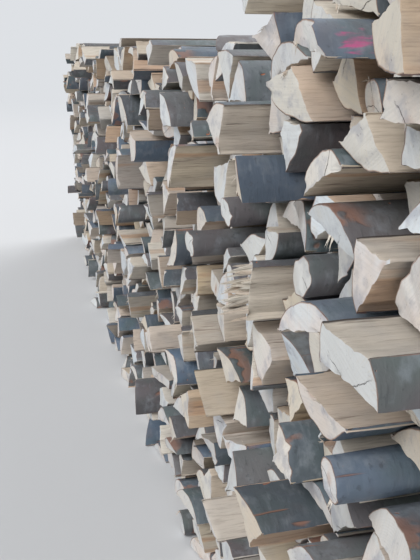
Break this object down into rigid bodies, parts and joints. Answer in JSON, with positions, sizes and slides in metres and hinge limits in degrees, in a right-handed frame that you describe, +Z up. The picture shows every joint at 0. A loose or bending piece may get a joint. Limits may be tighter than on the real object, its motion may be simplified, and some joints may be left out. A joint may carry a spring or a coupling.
{
  "type": "stack of split firewood logs",
  "caption": "Free-standing wall of split hardwood logs about a metre long, laid crosswise and one log deep, with rough sawn ends showing.",
  "frame": {"origin": "on the ground, under the middle of what the logs take up", "axes": "+X along the stack towards its higher near end, +Y along the logs towards the back, +Z up"},
  "size_m": [6.251, 1.2558, 1.8311],
  "materials": {
    "course_01": "sawn and split, with bark",
    "course_02": "sawn and split, with bark",
    "course_03": "sawn and split, with bark",
    "course_04": "sawn and split, with bark",
    "course_05": "sawn and split, with bark",
    "course_06": "sawn and split, with bark",
    "course_07": "sawn and split, with bark",
    "course_08": "sawn and split, with bark",
    "course_09": "sawn and split, with bark",
    "course_10": "sawn and split, with bark",
    "course_11": "sawn and split, with bark",
    "course_12": "sawn and split, with bark",
    "course_13": "sawn and split, with bark",
    "course_14": "sawn and split, with bark",
    "course_15": "sawn and split, with bark",
    "course_16": "sawn and split, with bark",
    "course_17": "sawn and split, with bark",
    "course_18": "sawn and split, with bark",
    "course_19": "sawn and split, with bark",
    "high_part_course": "sawn and split, with bark"
  },
  "bodies": {
    "root": {"course_01": "course_01", "course_02": "course_02", "course_03": "course_03", "course_04": "course_04", "course_05": "course_05", "course_06": "course_06", "course_07": "course_07", "course_08": "course_08", "course_09": "course_09", "course_10": "course_10", "course_11": "course_11", "course_12": "course_12", "course_13": "course_13", "course_14": "course_14", "course_15": "course_15", "course_16": "course_16", "course_17": "course_17", "course_18": "course_18", "course_19": "course_19", "high_part_course": "high_part_course"}
  },
  "joints": []
}
